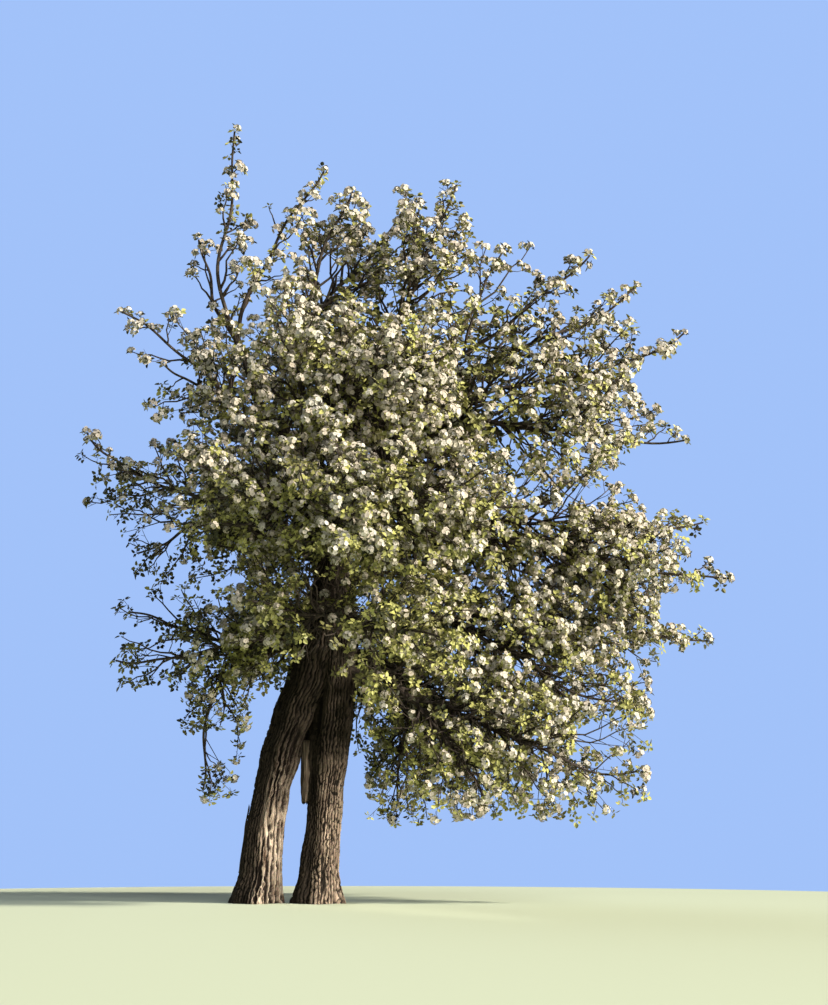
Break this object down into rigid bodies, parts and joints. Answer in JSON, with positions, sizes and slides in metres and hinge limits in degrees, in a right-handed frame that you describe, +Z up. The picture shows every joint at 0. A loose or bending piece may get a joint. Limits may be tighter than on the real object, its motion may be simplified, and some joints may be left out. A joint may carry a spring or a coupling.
{
  "type": "old pear tree in blossom",
  "caption": "Old pear tree in full blossom: hollow trunk split into two legs, spreading crown longer to the right, twigs drooping at the lower right.",
  "frame": {"origin": "centre of the right leg's foot on the flat cut at ground level", "axes": "+Z up; +X to the right in the reference view, the way the longer side of the crown reaches; +Y away from the viewer"},
  "size_m": [6.6319, 5.5094, 7.9434],
  "materials": {
    "bark": "deeply furrowed grey-brown bark and weathered bare wood",
    "limb_bark": "dark rough bark",
    "blossom_cream": "matte cream-white blossom with leaves",
    "blossom_olive": "matte cream-green blossom with leaves",
    "blossom_pale": "matte pale blossom with leaves"
  },
  "bodies": {
    "root": {"trunk": "bark", "bough_left_leader": "limb_bark", "bough_middle_leader": "limb_bark", "bough_right_leader": "limb_bark", "bough_high_right": "limb_bark", "bough_upper_right": "limb_bark", "bough_right": "limb_bark", "bough_lower_right": "limb_bark", "bough_drooping_right": "limb_bark", "bough_low_back_right": "limb_bark", "bough_upper_left": "limb_bark", "bough_left": "limb_bark", "bough_lower_left": "limb_bark", "bough_front_upper": "limb_bark", "bough_front": "limb_bark", "bough_front_low": "limb_bark", "bough_back_upper": "limb_bark", "bough_back": "limb_bark", "bough_back_low": "limb_bark", "mass_tall_shoot": "blossom_cream", "mass_top_left": "blossom_olive", "mass_left_shoulder": "blossom_pale", "mass_top_middle": "blossom_cream", "mass_top_back": "blossom_olive", "mass_top_right": "blossom_pale", "mass_top_far_right": "blossom_cream", "mass_right_shoulder": "blossom_olive", "mass_right_shoulder_back": "blossom_pale", "mass_right_spur": "blossom_cream", "mass_right_front": "blossom_olive", "mass_right_high": "blossom_pale", "mass_right_wide": "blossom_cream", "mass_right_back": "blossom_olive", "mass_right_low": "blossom_pale", "mass_right_lowest": "blossom_cream", "mass_hanging_right": "blossom_olive", "mass_hanging_back": "blossom_pale", "mass_low_back_right": "blossom_cream", "mass_left_tip": "blossom_olive", "mass_front_left_upper": "blossom_pale", "mass_left_wide": "blossom_cream", "mass_left_back": "blossom_olive", "mass_left_level": "blossom_pale", "mass_left_low": "blossom_cream", "mass_left_drooping": "blossom_olive", "mass_front_top": "blossom_pale", "mass_front_high_right": "blossom_cream", "mass_front_left": "blossom_olive", "mass_front_middle": "blossom_pale", "mass_front_right": "blossom_cream", "mass_front_low_left": "blossom_olive", "mass_front_low_right": "blossom_pale", "mass_back_top": "blossom_cream", "mass_back_high_right": "blossom_olive", "mass_back_left": "blossom_pale", "mass_back_middle": "blossom_cream", "mass_back_right": "blossom_olive", "mass_back_low_left": "blossom_pale", "mass_back_low_right": "blossom_cream"}
  },
  "joints": []
}
